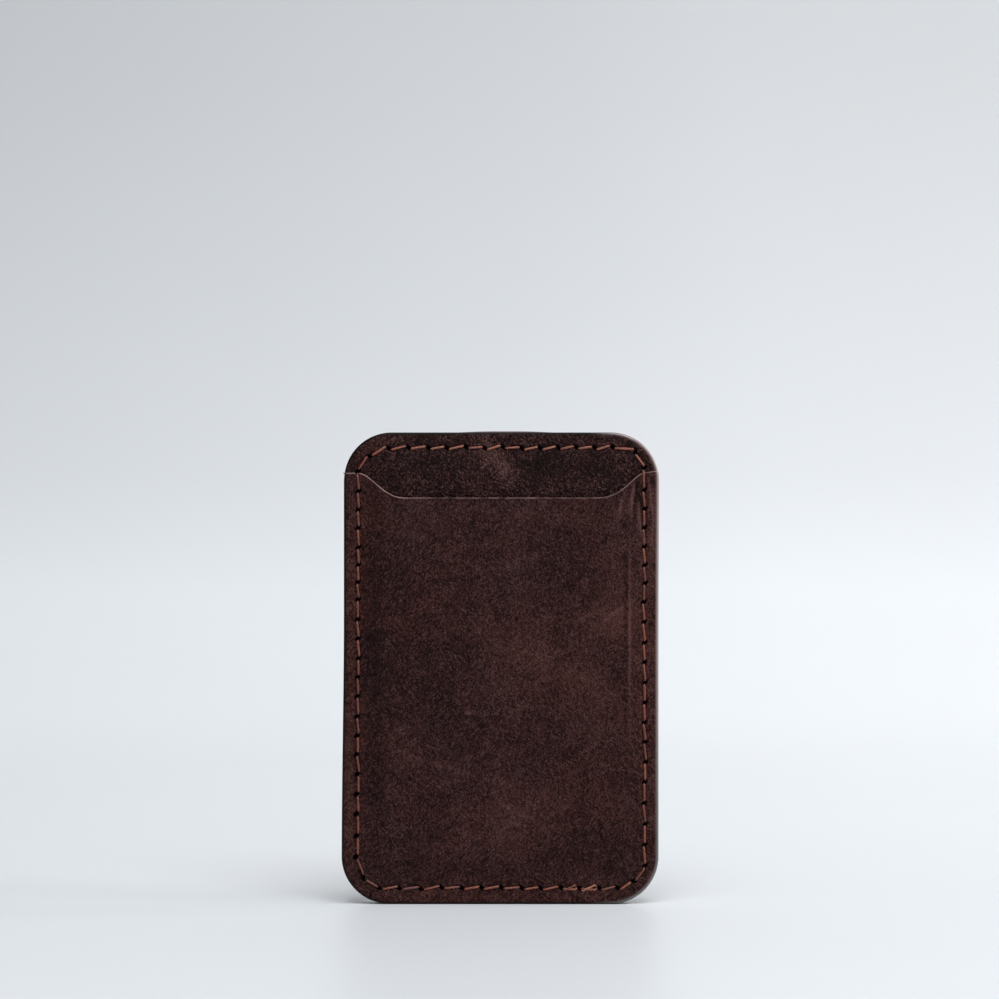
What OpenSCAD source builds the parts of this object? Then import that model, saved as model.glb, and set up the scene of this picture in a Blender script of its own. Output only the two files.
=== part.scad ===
// Slim leather card wallet that snaps on to the back of a phone with a ring of magnets.
// It stands on its bottom edge: +Z is up, +X runs across it and the card pocket faces -Y.
// Every layer is a flat sheet with its outline drawn in X and Z and its thickness along Y.

/* [Outline] */
// Width of the finished wallet
body_w = 66; // [65:0.5:68]
// Height of the finished wallet
body_h = 99; // [97:0.5:102]
// Radius of its four corners
corner_r = 10; // [9:0.5:11]

/* [Leather and board] */
// Thickness of the leather that makes the pocket
pocket_t = 1.4; // [1.2:0.1:1.8]
// Thickness of the leather behind the card
card_panel_t = 1.2; // [1:0.1:1.6]
// Thickness of the stiffener board
board_t = 0.9; // [0.8:0.1:1.2]
// Thickness of the leather that lies against the phone
rear_t = 1.0; // [0.8:0.1:1.4]

/* [Card pocket] */
// Width of the space for the card
pocket_w = 55; // [54.5:0.1:55.4]
// Depth of the space for the card, from front to back
pocket_depth = 0.8; // [0.8:0.05:1]
// Height of the bottom of the space above the bottom edge of the wallet
pocket_floor = 5; // [5:0.1:6]
// Radius of the lower corners of that space
card_corner_r = 3; // [2.5:0.1:3.2]
// Height of the low middle stretch of the pocket's mouth
mouth_z = 85.4; // [84:0.2:87]
// Half length of that low stretch
mouth_half = 21.5; // [20.5:0.1:22]
// Height at which the pocket leather meets the sides of the wallet
shoulder_z = 90.8; // [90.6:0.1:91.2]
// Distance from the middle to where the shoulder turns down into the mouth
shoulder_half = 30; // [29.8:0.1:30.6]
// Width of the sloping border around the card bulge
bulge_slope = 1.2; // [1:0.1:1.2]

/* [Stitching] */
// Distance of the stitch line from the side edges
seam_side = 3; // [2.9:0.1:3.2]
// Distance of the stitch line from the top edge
seam_top = 3.2; // [3:0.1:3.4]
// Distance of the stitch line from the bottom edge
seam_bottom = 3.4; // [3.2:0.1:3.5]
// Radius of the stitch line at the corners
seam_r = 7; // [6.5:0.1:7.5]
// Needle holes along each side
side_holes = 21; // [19:1:22]
// Needle holes along the top, and along the bottom
end_holes = 13; // [11:1:13]
// Height of the lowest side hole
side_low = 9.2; // [9:0.1:10]
// How much longer the side stitches are at the bottom than at the middle
side_ease = 0.08; // [0:0.01:0.1]
// Half length of the row of holes along the top
top_half = 23.3; // [22.8:0.1:23.6]
// Half length of the row of holes along the bottom
bottom_half = 25; // [24:0.1:25]
// Length of a needle hole
slot_len = 1.4; // [1.4:0.02:1.5]
// Width of a needle hole
slot_w = 0.64; // [0.62:0.01:0.68]
// Width of the thread, drawn tight
thread_w = 0.44; // [0.4:0.02:0.44]
// Thickness of the thread where it lies on the leather
thread_t = 0.5; // [0.4:0.02:0.6]
// How far the thread stands out of the leather
thread_proud = 0.2; // [0.15:0.01:0.25]

/* [Magnets and shield] */
// Height of the middle of the magnet ring
ring_z = 65; // [64:0.1:65.5]
// Outer diameter of the magnet ring
ring_od = 55; // [54:0.1:55]
// Inner diameter of the magnet ring
ring_id = 46; // [45:0.1:46]
// Arc magnets in the ring
magnets = 18; // [12:1:20]
// Angle left open at the bottom of the ring
ring_gap = 36; // [30:1:40]
// Thickness of the magnets
magnet_t = 0.7; // [0.6:0.05:0.7]
// Thickness of the steel behind the magnets
shunt_t = 0.2; // [0.15:0.05:0.2]
// Thickness of the adhesive film over the magnets
film_t = 0.1; // [0.05:0.01:0.1]
// Width of the upright bar of magnets below the ring
bar_w = 6; // [5:0.5:7]
// Height of the bar of magnets
bar_h = 20; // [18:0.5:20]
// Distance from the middle of the ring to the middle of the bar
bar_drop = 41.7; // [41:0.1:42]
// Width of the steel shield plate
shield_w = 56; // [55:0.1:56]
// Height of the steel shield plate
shield_h = 85; // [84:0.1:85]
// Thickness of the steel shield plate
shield_t = 0.3; // [0.2:0.05:0.3]

/* [Hidden] */
$fn = 64;
e = 0.01;
fit = 0.1;
past = 1;

// The layers from front to back. The bulge and the ring's relief stand out equally far from the middle.
relief = magnet_t + shunt_t + film_t + shield_t - board_t;
stack_t = pocket_t + card_panel_t + board_t + rear_t;
bulge_y = -(stack_t + pocket_depth + relief) / 2;
front_y = bulge_y + pocket_depth;
card_panel_y = front_y + pocket_t;
board_y = card_panel_y + card_panel_t;
rear_y = board_y + board_t;
back_y = rear_y + rear_t;
shunt_y = board_y + shield_t;
magnet_y = shunt_y + shunt_t;
film_y = magnet_y + magnet_t;
channel_t = shunt_t + magnet_t + film_t;

// The mouth's S-shaped ends: two equal arcs joined by a straight stretch at 45 degrees.
mouth_run = shoulder_half - mouth_half;
mouth_drop = shoulder_z - mouth_z;
mouth_r = (mouth_run - mouth_drop) / (2 * sin(45) - 2 * (1 - cos(45)));
mouth_low_c = [mouth_half, mouth_z + mouth_r];
mouth_high_c = [shoulder_half, shoulder_z - mouth_r];
mouth_diag = mouth_r * sin(45);

// Needle holes as [x, z, direction of the seam], clockwise from the top left as the front shows them.
seam_x = body_w / 2 - seam_side;
seam_top_z = body_h - seam_top;
seam_turn_x = seam_x - seam_r * (1 - cos(45));
seam_turn_top = seam_top_z - seam_r * (1 - cos(45));
seam_turn_bottom = seam_bottom + seam_r * (1 - cos(45));
side_last = side_holes - 1;
end_last = end_holes - 1;
function side_z(k) =
    side_low + (shoulder_z - side_low) * (k / side_last) * (1 + side_ease * (1 - k / side_last));
holes = concat(
    [for (k = [0 : end_last]) [top_half * (2 * k / end_last - 1), seam_top_z, 0]],
    [[seam_turn_x, seam_turn_top, -45]],
    [for (k = [side_last : -1 : 0]) [seam_x, side_z(k), -90]],
    [[seam_turn_x, seam_turn_bottom, -135]],
    [for (k = [0 : end_last]) [bottom_half * (1 - 2 * k / end_last), seam_bottom, 180]],
    [[-seam_turn_x, seam_turn_bottom, 135]],
    [for (k = [0 : side_last]) [-seam_x, side_z(k), 90]],
    [[-seam_turn_x, seam_turn_top, 45]]
);

// A stitch runs from the far end of one slanted hole to the near end of the next.
slot_turn = 45;
reach = slot_len / 2 - thread_w * sin(45) - e;
knot_share = 0.7;
knot_y = card_panel_y + card_panel_t * knot_share;
bed_gap = 0.03;
elbow = thread_t / 3;
function slot_dir(h) = [cos(h[2] - slot_turn), sin(h[2] - slot_turn)];
function hole_at(h) = [h[0], h[1]];
function stitch_from(i) = hole_at(holes[i]) + reach * slot_dir(holes[i]);
function stitch_to(i) =
    let (next = holes[(i + 1) % len(holes)]) hole_at(next) - reach * slot_dir(next);
function over_pocket(i) = min(holes[i][1], holes[(i + 1) % len(holes)][1]) < shoulder_z - e;
pocket_stitches = [for (i = [0 : len(holes) - 1]) if (over_pocket(i)) i];
top_stitches = [for (i = [0 : len(holes) - 1]) if (!over_pocket(i)) i];
all_stitches = [for (i = [0 : len(holes) - 1]) i];

// The ring is open at the bottom, and its angles count from +X towards +Z.
ring_from = ring_gap / 2 - 90;
magnet_turn = (360 - ring_gap) / magnets;
magnet_gap = 0.3;
bar_z = ring_z - bar_drop;
shield_raise = 1;
shield_corner_r = 3;
shield_bottom = (body_h - shield_h) / 2 + shield_raise;
relief_lip = 0.4;

// Turns a flat outline drawn in X and Z into a sheet from y to y + t.
module sheet(y, t) {
    translate([0, y + t, 0])
        rotate([90, 0, 0])
            linear_extrude(t)
                children();
}

module rounded(w, h, r) {
    square([w - 2 * r, h], center = true);
    square([w, h - 2 * r], center = true);
    for (x = [-1, 1])
        for (z = [-1, 1])
            translate([x * (w / 2 - r), z * (h / 2 - r)])
                circle(r);
}

module outline() {
    translate([0, body_h / 2])
        rounded(body_w, body_h, corner_r);
}

module shield_outline(grow) {
    translate([0, shield_bottom + shield_h / 2])
        rounded(shield_w + 2 * grow, shield_h + 2 * grow, shield_corner_r);
}

// What is cut away above the edge of the pocket's mouth, on the right half.
module mouth_half_cut() {
    sheet(bulge_y - past, stack_t)
        difference() {
            polygon([
                [-e, mouth_z],
                [mouth_half, mouth_z],
                mouth_low_c + [mouth_diag, -mouth_diag],
                mouth_high_c + [-mouth_diag, mouth_diag],
                [shoulder_half, shoulder_z],
                [body_w, shoulder_z],
                [body_w, body_h + past],
                [-e, body_h + past]
            ]);
            translate(mouth_high_c)
                circle(mouth_r);
        }
    sheet(bulge_y - past, stack_t)
        translate(mouth_low_c)
            circle(mouth_r);
}

// A rectangular pad that rises from its sheet with sloping sides, mitred at its corners.
module pad(w, z0, z1, base_y, top_y, slope) {
    intersection() {
        linear_extrude(body_h)
            polygon([
                [-w / 2 - slope, base_y], [-w / 2, top_y],
                [w / 2, top_y], [w / 2 + slope, base_y]
            ]);
        rotate([90, 0, 90])
            linear_extrude(body_w, center = true)
                polygon([
                    [base_y, z0 - slope], [top_y, z0],
                    [top_y, z1], [base_y, z1 + slope]
                ]);
    }
}

module needle_slots() {
    sheet(bulge_y - past, back_y - bulge_y + 2 * past)
        for (h = holes)
            translate(hole_at(h))
                rotate(h[2] - slot_turn)
                    square([slot_len, slot_w], center = true);
}

// Draws its outline of run length and depth along stitch i, as wide as w.
module along_stitch(i, w) {
    run = stitch_to(i) - stitch_from(i);
    translate([stitch_from(i)[0], 0, stitch_from(i)[1]])
        rotate([0, -atan2(run[1], run[0]), 0])
            linear_extrude(w, center = true)
                children();
}

function run_of(i) = norm(stitch_to(i) - stitch_from(i));

// The grooves that the threads press into one face of the leather; into is +1 on a front face.
module beds(stitches, face_y, into) {
    half = thread_w / 2 + bed_gap;
    deep = thread_t - thread_proud + bed_gap;
    for (i = stitches)
        along_stitch(i, 2 * half)
            polygon([
                [-half, face_y - into],
                [-half, face_y + into * deep],
                [run_of(i) + half, face_y + into * deep],
                [run_of(i) + half, face_y - into]
            ]);
}

// Stitches on one face, each a bar with two legs that reach the knots inside the holes.
module stitches(list, face_y, into) {
    half = thread_w / 2;
    out_y = face_y - into * thread_proud;
    in_y = out_y + into * thread_t;
    for (i = list)
        along_stitch(i, thread_w)
            polygon([
                [-half, knot_y],
                [-half, out_y + into * elbow],
                [elbow - half, out_y],
                [run_of(i) + half - elbow, out_y],
                [run_of(i) + half, out_y + into * elbow],
                [run_of(i) + half, knot_y],
                [run_of(i) - half, knot_y],
                [run_of(i) - half, in_y],
                [half, in_y],
                [half, knot_y]
            ]);
}

module arc(r0, r1, y, t, from, turn) {
    translate([0, y + t, ring_z])
        rotate([90, 0, 0])
            rotate(from)
                rotate_extrude(angle = turn)
                    translate([r0, 0])
                        square([r1 - r0, t]);
}

module bar(y, t, z0, h) {
    translate([-bar_w / 2, y, z0])
        cube([bar_w, t, h]);
}

// The space for the magnets: an open ring and an upright bar below it.
module magnet_channel() {
    arc(ring_id / 2 - fit, ring_od / 2 + fit, shunt_y, channel_t, ring_from - fit, 360 - ring_gap + 2 * fit);
    translate([-bar_w / 2 - fit, shunt_y, bar_z - bar_h / 2 - fit])
        cube([bar_w + 2 * fit, channel_t, bar_h + 2 * fit]);
}

// Leather moulded over the magnets, with sloping sides.
module magnet_relief() {
    translate([0, back_y - e, ring_z])
        rotate([-90, 0, 0])
            rotate_extrude()
                polygon([
                    [ring_id / 2 - relief_lip - bulge_slope, 0],
                    [ring_id / 2 - relief_lip, relief + e],
                    [ring_od / 2 + relief_lip, relief + e],
                    [ring_od / 2 + relief_lip + bulge_slope, 0]
                ]);
    pad(bar_w + 2 * relief_lip, bar_z - bar_h / 2 - relief_lip, bar_z + bar_h / 2 + relief_lip,
        back_y - e, back_y + relief, bulge_slope);
}

// Front leather: stitched down on three sides, open and scooped at the top, bulged for a card.
module front_pocket_panel() {
    color("#3a2826")
        difference() {
            union() {
                sheet(front_y, pocket_t)
                    outline();
                pad(pocket_w, pocket_floor + bulge_slope / 2, body_h, front_y + e, bulge_y, bulge_slope);
            }
            mouth_half_cut();
            mirror([1, 0, 0])
                mouth_half_cut();
            sheet(card_panel_y - pocket_depth, pocket_depth + e)
                translate([0, pocket_floor + body_h / 2])
                    rounded(pocket_w, body_h, card_corner_r);
            needle_slots();
            beds(pocket_stitches, front_y, 1);
        }
}

// Leather behind the card, seen above the pocket's mouth.
module card_panel() {
    color("#372624")
        difference() {
            sheet(card_panel_y, card_panel_t)
                outline();
            needle_slots();
            beds(top_stitches, card_panel_y, 1);
        }
}

// Thin steel sheet that keeps the magnets' field away from the card.
module shield_plate() {
    color("#9a9da1")
        sheet(board_y, shield_t)
            shield_outline(0);
}

// Bonded board that stiffens the wallet and holds the shield and the magnets.
module stiffener_board() {
    color("#5a4638")
        difference() {
            sheet(board_y, board_t)
                outline();
            sheet(board_y - e, shield_t + e)
                shield_outline(fit);
            magnet_channel();
            needle_slots();
        }
}

module shunt_ring() {
    color("#8f9398")
        arc(ring_id / 2, ring_od / 2, shunt_y, shunt_t, ring_from, 360 - ring_gap);
}

module shunt_bar() {
    color("#8f9398")
        bar(shunt_y, shunt_t, bar_z - bar_h / 2, bar_h);
}

module ring_magnet(i) {
    color("#c3c5c8")
        arc(ring_id / 2, ring_od / 2, magnet_y, magnet_t,
            ring_from + (i - 1) * magnet_turn + magnet_gap / 2, magnet_turn - magnet_gap);
}

module upper_bar_magnet() {
    color("#c3c5c8")
        bar(magnet_y, magnet_t, bar_z + fit / 2, bar_h / 2 - fit / 2);
}

module lower_bar_magnet() {
    color("#c3c5c8")
        bar(magnet_y, magnet_t, bar_z - bar_h / 2, bar_h / 2 - fit / 2);
}

module ring_film() {
    color("#e8e6df")
        arc(ring_id / 2, ring_od / 2, film_y, film_t, ring_from, 360 - ring_gap);
}

module bar_film() {
    color("#e8e6df")
        bar(film_y, film_t, bar_z - bar_h / 2, bar_h);
}

// Rear leather, moulded over the magnets, which lies against the phone.
module rear_panel() {
    color("#3a2826")
        difference() {
            union() {
                sheet(rear_y, rear_t)
                    outline();
                magnet_relief();
            }
            magnet_channel();
            needle_slots();
            beds(all_stitches, back_y, -1);
        }
}

// Upper thread of the lockstitch, one solid for each stitch.
module needle_thread() {
    color("#96553f") {
        stitches(pocket_stitches, front_y, 1);
        stitches(top_stitches, card_panel_y, 1);
    }
}

// Lower thread of the lockstitch, which meets the needle thread inside each hole.
module bobbin_thread() {
    color("#96553f")
        stitches(all_stitches, back_y, -1);
}

front_pocket_panel();
card_panel();
shield_plate();
stiffener_board();
shunt_ring();
shunt_bar();
for (i = [1 : magnets])
    ring_magnet(i);
upper_bar_magnet();
lower_bar_magnet();
ring_film();
bar_film();
rear_panel();
needle_thread();
bobbin_thread();
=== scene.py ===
import math

import bpy
import numpy as np
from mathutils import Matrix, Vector


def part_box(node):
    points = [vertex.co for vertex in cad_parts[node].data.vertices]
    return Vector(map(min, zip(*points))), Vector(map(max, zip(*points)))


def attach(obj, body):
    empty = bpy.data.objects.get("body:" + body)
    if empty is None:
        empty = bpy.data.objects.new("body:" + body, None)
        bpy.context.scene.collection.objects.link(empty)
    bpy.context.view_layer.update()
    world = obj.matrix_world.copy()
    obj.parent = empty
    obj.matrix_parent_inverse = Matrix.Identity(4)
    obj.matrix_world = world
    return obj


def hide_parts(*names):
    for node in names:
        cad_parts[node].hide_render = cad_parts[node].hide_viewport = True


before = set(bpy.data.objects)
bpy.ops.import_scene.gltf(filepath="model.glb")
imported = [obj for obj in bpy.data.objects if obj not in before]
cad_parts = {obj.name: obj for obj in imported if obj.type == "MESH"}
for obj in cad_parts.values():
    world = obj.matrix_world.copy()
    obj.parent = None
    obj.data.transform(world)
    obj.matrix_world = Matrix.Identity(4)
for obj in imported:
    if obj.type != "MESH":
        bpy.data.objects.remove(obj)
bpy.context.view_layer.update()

# ---------------------------------------------------------------------------------------------
# Rear leather: the layer that lies against the phone. Waxed pull-up cowhide, 1 mm thick, grain
# side out, moulded over the ring of magnets and sewn to the other layers right round its edge.
# ---------------------------------------------------------------------------------------------
MM = 0.001
rear_low, rear_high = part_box("rear_panel")
WIDTH = rear_high.x - rear_low.x
HEIGHT = rear_high.z - rear_low.z
HALF = WIDTH / 2
CORNER = 10 * MM
RELIEF = 0.4 * MM


def smooth(low, high, value):
    """0 below low, 1 above high and a soft step between them."""
    t = np.clip((value - low) / (high - low), 0, 1)
    return t * t * (3 - 2 * t)


def drift(x, z, size, seed):
    """A soft random swell between about -1 and 1 whose bumps are size across."""
    rng = np.random.default_rng(seed)
    total = np.zeros_like(x)
    for _ in range(9):
        turn = rng.uniform(0, 2 * math.pi)
        wave = 2 * math.pi / (size * rng.uniform(1.4, 3.2))
        total += np.sin(wave * (x * math.cos(turn) + z * math.sin(turn)) + rng.uniform(0, 6.3))
    return total / 4


# The seam: needle holes 3 mm in from the edge, a little further apart near the bottom, as the
# hand that fed the work under the needle left them. Clockwise from the top left of the front.
SIDE_HOLES = 21
END_HOLES = 13
TOP_SEAM = HEIGHT - 3.2 * MM
BOTTOM_SEAM = 3.45 * MM


def seam_run(start, end, count, ease):
    """Needle holes from start to end, whose pitch is longer by ease at the start."""
    t = np.linspace(0, 1, count)
    t = t + ease * t * (1 - t)
    return [(start[0] + (end[0] - start[0]) * k, start[1] + (end[1] - start[1]) * k) for k in t]


def side_run(x, paced):
    """Needle holes up one side; paced holds some of their numbers and heights in mm."""
    heights = np.interp(range(SIDE_HOLES), *zip(*paced))
    return [(x, height * MM) for height in heights]


SIDE_SEAM = HALF - 2.98 * MM
right_side = side_run(SIDE_SEAM, [(0, 8.1), (4, 25.6), (13, 63.4), (19, 86.9), (20, 91.5)])
left_side = side_run(-SIDE_SEAM, [(0, 10.0), (3, 23.2), (13, 63.9), (16, 74.8), (20, 90.7)])
SEAM_HOLES = (
    [(*p, 0) for p in seam_run((-23.6 * MM, TOP_SEAM), (23.3 * MM, TOP_SEAM), END_HOLES, 0.05)]
    + [(28.2 * MM, 94.9 * MM, -45)]
    + [(*p, -90) for p in reversed(right_side)]
    + [(27.7 * MM, 4.8 * MM, -135)]
    + [(*p, 180) for p in seam_run(
        (24.4 * MM, BOTTOM_SEAM), (-25.35 * MM, BOTTOM_SEAM), END_HOLES, -0.05)]
    + [(-28.5 * MM, 5.7 * MM, 135)]
    + [(*p, 90) for p in left_side]
    + [(-27.7 * MM, 93.9 * MM, 45)]
)
NEEDLE_TURN = 42
WANDER = 0.09 * MM
wander = np.random.default_rng(5)
SEAM_HOLES = [
    (x + wander.normal(0, WANDER), z + wander.normal(0, WANDER), way) for x, z, way in SEAM_HOLES
]


def slot_way(hole):
    """How far and which way a stitch leaves the middle of its slanted hole."""
    on_side = abs(hole[2]) == 90
    reach = (0.56 if on_side else 0.70) * MM
    turn = math.radians(hole[2] - (10 if on_side else 22))
    return np.array([reach * math.cos(turn), reach * math.sin(turn)])


STITCHES = []
for first, second in zip(SEAM_HOLES, SEAM_HOLES[1:] + SEAM_HOLES[:1]):
    STITCHES.append((
        np.array(first[:2]) + slot_way(first), np.array(second[:2]) - slot_way(second),
    ))


VALLEY_HALF, VALLEY_DEEP = 1.15 * MM, 0.13 * MM
BED_HALF, BED_DEEP = 0.36 * MM, 0.20 * MM
SLOT_LONG, SLOT_WIDE, SLOT_DEEP = 0.72 * MM, 0.40 * MM, 0.85 * MM


def needle_work(x, z, holes, stitches):
    """The leather's height around the seam, and how deep in a needle hole each point is: the depth is
    painted in as shade.
    """
    height = np.zeros_like(x)
    valley = np.zeros_like(x)
    bed = np.zeros_like(x)
    for a, b in stitches:
        run = b - a
        t = np.clip(((x - a[0]) * run[0] + (z - a[1]) * run[1]) / (run @ run), 0, 1)
        away = np.hypot(x - a[0] - t * run[0], z - a[1] - t * run[1])
        valley = np.maximum(valley, np.exp(-((away / VALLEY_HALF) ** 2)))
        bed = np.maximum(bed, np.exp(-((away / BED_HALF) ** 2)))
    height -= VALLEY_DEEP * valley + BED_DEEP * bed
    inside = np.zeros_like(x)
    for hole_x, hole_z, way in holes:
        turn = math.radians(way - NEEDLE_TURN)
        along = (x - hole_x) * math.cos(turn) + (z - hole_z) * math.sin(turn)
        across = -(x - hole_x) * math.sin(turn) + (z - hole_z) * math.cos(turn)
        q = np.hypot(along / SLOT_LONG, across / SLOT_WIDE)
        pit = 1 - smooth(0.5, 1.2, q)
        lip = np.exp(-(((q - 1.55) / 0.4) ** 2))
        inside = np.maximum(inside, 1 - smooth(0.8, 1.35, q))
        height += -SLOT_DEEP * pit + 0.05 * MM * lip
    return height, inside


# A sheet of leather starts as a ruled grid whose lines stand close together at the rim, where the
# edge is rounded, and along the seam. Its corners are then cut round, and its face is shaped.
RIM_LINES = [0, 0.05, 0.12, 0.22, 0.36, 0.55, 0.85, 1.3, 1.8]
SEAM_LINES = [1.8, 4.2]
SEAM_RULES, CORNER_RULES = 5, 12
CORNER_RULED = len(RIM_LINES) + SEAM_RULES + CORNER_RULES
GRID_STEP = 0.46 * MM


def ruled(length, step=GRID_STEP):
    """Where the lines of the grid stand along one side of the sheet."""
    fine = [d * MM for d in RIM_LINES]
    fine += list(np.linspace(SEAM_LINES[0] * MM, SEAM_LINES[1] * MM, SEAM_RULES + 1)[1:])
    fine += list(np.linspace(SEAM_LINES[1] * MM, CORNER, CORNER_RULES + 1)[1:])
    middle_count = max(2, round((length - 2 * CORNER) / step))
    middle = list(np.linspace(CORNER, length - CORNER, middle_count + 1)[1:-1])
    return np.array(fine + middle + [length - d for d in reversed(fine)])


def ruled_sheet(name, across, up):
    """A flat grid in the XZ plane facing -Y, with its lines where the two lists say."""
    bpy.ops.object.select_all(action="DESELECT")
    bpy.ops.mesh.primitive_grid_add(
        x_subdivisions=len(across) - 1, y_subdivisions=len(up) - 1, size=1, rotation=(math.pi / 2, 0, 0)
    )
    sheet = bpy.context.object
    sheet.name = sheet.data.name = name
    bpy.ops.object.transform_apply(location=False, rotation=True, scale=True)
    co = points(sheet)
    column = np.rint((co[:, 0] + 0.5) * (len(across) - 1)).astype(int)
    row = np.rint((co[:, 2] + 0.5) * (len(up) - 1)).astype(int)
    co[:, 0] = across[column] - HALF
    co[:, 2] = up[row]
    place(sheet, co)
    return sheet


def points(piece):
    co = np.empty(len(piece.data.vertices) * 3)
    piece.data.vertices.foreach_get("co", co)
    return co.reshape(-1, 3)


def place(piece, co):
    piece.data.vertices.foreach_set("co", co.ravel())
    piece.data.update()


def pick(piece, kind, chosen):
    """Selects exactly these faces or edges of one piece and opens it in edit mode."""
    bpy.ops.object.select_all(action="DESELECT")
    piece.select_set(True)
    bpy.context.view_layer.objects.active = piece
    mesh = piece.data
    for part in (mesh.vertices, mesh.edges, mesh.polygons):
        part.foreach_set("select", np.zeros(len(part), bool))
    bpy.ops.object.mode_set(mode="EDIT")
    bpy.ops.mesh.select_mode(type=kind)
    bpy.ops.object.mode_set(mode="OBJECT")
    (mesh.polygons if kind == "FACE" else mesh.edges).foreach_set("select", chosen)
    bpy.ops.object.mode_set(mode="EDIT")


def edge_ends(piece):
    """Both ends of every edge, as two lists of points."""
    ends = np.empty(len(piece.data.edges) * 2, int)
    piece.data.edges.foreach_get("vertices", ends)
    co = points(piece)
    return co[ends[::2]], co[ends[1::2]]


def face_middles(piece):
    middle = np.empty(len(piece.data.polygons) * 3)
    piece.data.polygons.foreach_get("center", middle)
    return middle.reshape(-1, 3)


def from_rim(x, z, top=HEIGHT):
    """Distance in from the nearest edge of the uncut rectangle."""
    return np.minimum(np.minimum(HALF - abs(x), z), top - z)


def finer_seam(sheet, top=HEIGHT, lowest=0.0, cuts=2):
    middle = face_middles(sheet)
    rim = from_rim(middle[:, 0], middle[:, 2], top)
    seam = (rim > SEAM_LINES[0] * MM) & (rim < SEAM_LINES[1] * MM) & (middle[:, 2] > lowest)
    pick(sheet, "FACE", seam)
    bpy.ops.mesh.subdivide(number_cuts=cuts)
    bpy.ops.object.mode_set(mode="OBJECT")


def round_corners(co, round_top=True):
    """Draws the corner squares of the grid into quarter discs, ring by ring."""
    x, z = co[:, 0], co[:, 2]
    u = (abs(x) - (HALF - CORNER)) / CORNER
    low = (CORNER - z) / CORNER
    high = (z - (HEIGHT - CORNER)) / CORNER
    for v, use, base, way in ((low, True, CORNER, -1), (high, round_top, HEIGHT - CORNER, 1)):
        if not use:
            continue
        at = (u > 0) & (v > 0)
        ratio = np.maximum(u[at], v[at]) / np.hypot(u[at], v[at])
        x[at] = np.sign(x[at]) * (HALF - CORNER + CORNER * u[at] * ratio)
        z[at] = base + way * CORNER * v[at] * ratio


def hand_cut(co):
    """The outline as the knife left it: a little wider towards the bottom, mostly on the left."""
    x, z = co[:, 0], co[:, 2]
    low = 1 - smooth(8 * MM, 62 * MM, z)
    top = smooth(55 * MM, 90 * MM, z)
    x *= 1 + np.where(x < 0, 0.0145 * low + 0.001, 0.003 * top + 0.001)


FIRST_PULL = 0.2 * MM


def close_back(sheet, out, back_y, steps=4, rim_round=0.14 * MM):
    """Turns the shaped face into a solid: its rim drawn back to back_y, closed, and eased."""
    bpy.ops.object.select_all(action="DESELECT")
    sheet.select_set(True)
    bpy.context.view_layer.objects.active = sheet
    bpy.ops.object.mode_set(mode="EDIT")
    bpy.ops.mesh.select_mode(type="EDGE")
    bpy.ops.mesh.select_all(action="DESELECT")
    bpy.ops.mesh.select_non_manifold(
        extend=False, use_wire=False, use_boundary=True, use_multi_face=False,
        use_non_contiguous=False, use_verts=False,
    )
    for _ in range(steps):
        bpy.ops.mesh.extrude_edges_move(TRANSFORM_OT_translate={"value": (0, -out * FIRST_PULL, 0)})
    bpy.ops.object.mode_set(mode="OBJECT")
    total = len(sheet.data.vertices)
    last = np.empty(total, bool)
    sheet.data.vertices.foreach_get("select", last)
    ring = int(last.sum())
    co = points(sheet)
    first_new = total - steps * ring
    front_y = co[first_new:first_new + ring, 1] + out * FIRST_PULL
    for k in range(steps):
        share = (k + 1) / steps
        start = first_new + k * ring
        co[start:start + ring, 1] = front_y * (1 - share) + back_y * share
    place(sheet, co)
    bpy.ops.object.mode_set(mode="EDIT")
    bpy.ops.mesh.edge_face_add()
    bpy.ops.mesh.bevel(offset=rim_round, segments=2, affect="EDGES", clamp_overlap=True)
    bpy.ops.mesh.select_all(action="SELECT")
    bpy.ops.mesh.normals_make_consistent(inside=False)
    bpy.ops.object.mode_set(mode="OBJECT")
    bpy.ops.object.shade_smooth_by_angle(angle=math.radians(50))


def paint(piece, name, values):
    """Stores one number a point, which the piece's material reads."""
    attribute = piece.data.attributes.new(name, "FLOAT", "POINT")
    attribute.data.foreach_set("value", np.asarray(values, np.float32))


def edge_roll(rim, radius):
    """How far a burnished edge falls away from the face, rim being the distance from the edge."""
    inward = np.clip(rim / radius, 0, 1)
    return radius * (1 - np.sqrt(1 - (1 - inward) ** 2))


def linear(colour):
    """An sRGB hex colour as the linear values that shaders work in."""
    parts = [int(colour[k:k + 2], 16) / 255 for k in (1, 3, 5)]
    return [p / 12.92 if p <= 0.04045 else ((p + 0.055) / 1.055) ** 2.4 for p in parts] + [1.0]


def add(tree, kind, inputs=None, **settings):
    """Adds one node, with its settings, and its sockets set or linked by name or number."""
    made = tree.nodes.new(kind)
    for key, value in settings.items():
        setattr(made, key, value)
    for key, value in (inputs or {}).items():
        if isinstance(value, bpy.types.NodeSocket):
            tree.links.new(value, made.inputs[key])
        else:
            made.inputs[key].default_value = value
    return made


def ramp(tree, value, *stops):
    """A colour ramp through (position, hex colour) stops."""
    made = add(tree, "ShaderNodeValToRGB", {"Fac": value})
    made.color_ramp.elements[0].position, made.color_ramp.elements[1].position = 0, 1
    while len(made.color_ramp.elements) < len(stops):
        made.color_ramp.elements.new(0.5)
    for element, (position, colour) in zip(made.color_ramp.elements, stops):
        element.position = position
        element.color = linear(colour) if isinstance(colour, str) else (colour, colour, colour, 1)
    return made.outputs["Color"]


def mixed(tree, factor, a, b, blend_type="MIX"):
    """Colour a turned towards colour b."""
    made = add(tree, "ShaderNodeMix", {0: factor, 6: a, 7: b}, data_type="RGBA", blend_type=blend_type)
    return made.outputs[2]


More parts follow.
